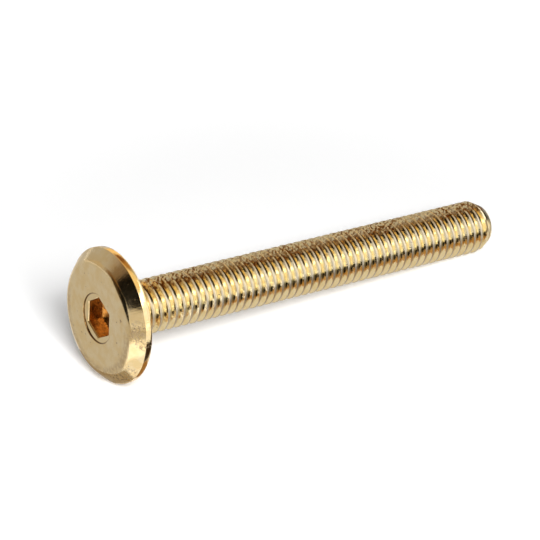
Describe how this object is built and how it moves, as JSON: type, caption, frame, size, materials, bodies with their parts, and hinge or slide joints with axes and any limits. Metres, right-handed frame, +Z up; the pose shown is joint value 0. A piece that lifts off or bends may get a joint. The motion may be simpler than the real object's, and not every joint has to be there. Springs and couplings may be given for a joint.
{
  "type": "furniture screw",
  "caption": "Metric furniture connecting screw with a wide flat bevelled head, a hex socket and a thread along its whole shank, lying on its side.",
  "frame": {"origin": "on the surface that the screw lies on, under the middle of its length", "axes": "+X along the surface from the head towards the threaded end, +Z up; the screw's own axis leans down towards the end by 5.25 degrees"},
  "size_m": [0.0528, 0.015, 0.015],
  "materials": {
    "brass_plating": "bright brass plating, lightly marked"
  },
  "bodies": {
    "root": {"screw": "brass_plating"}
  },
  "joints": []
}
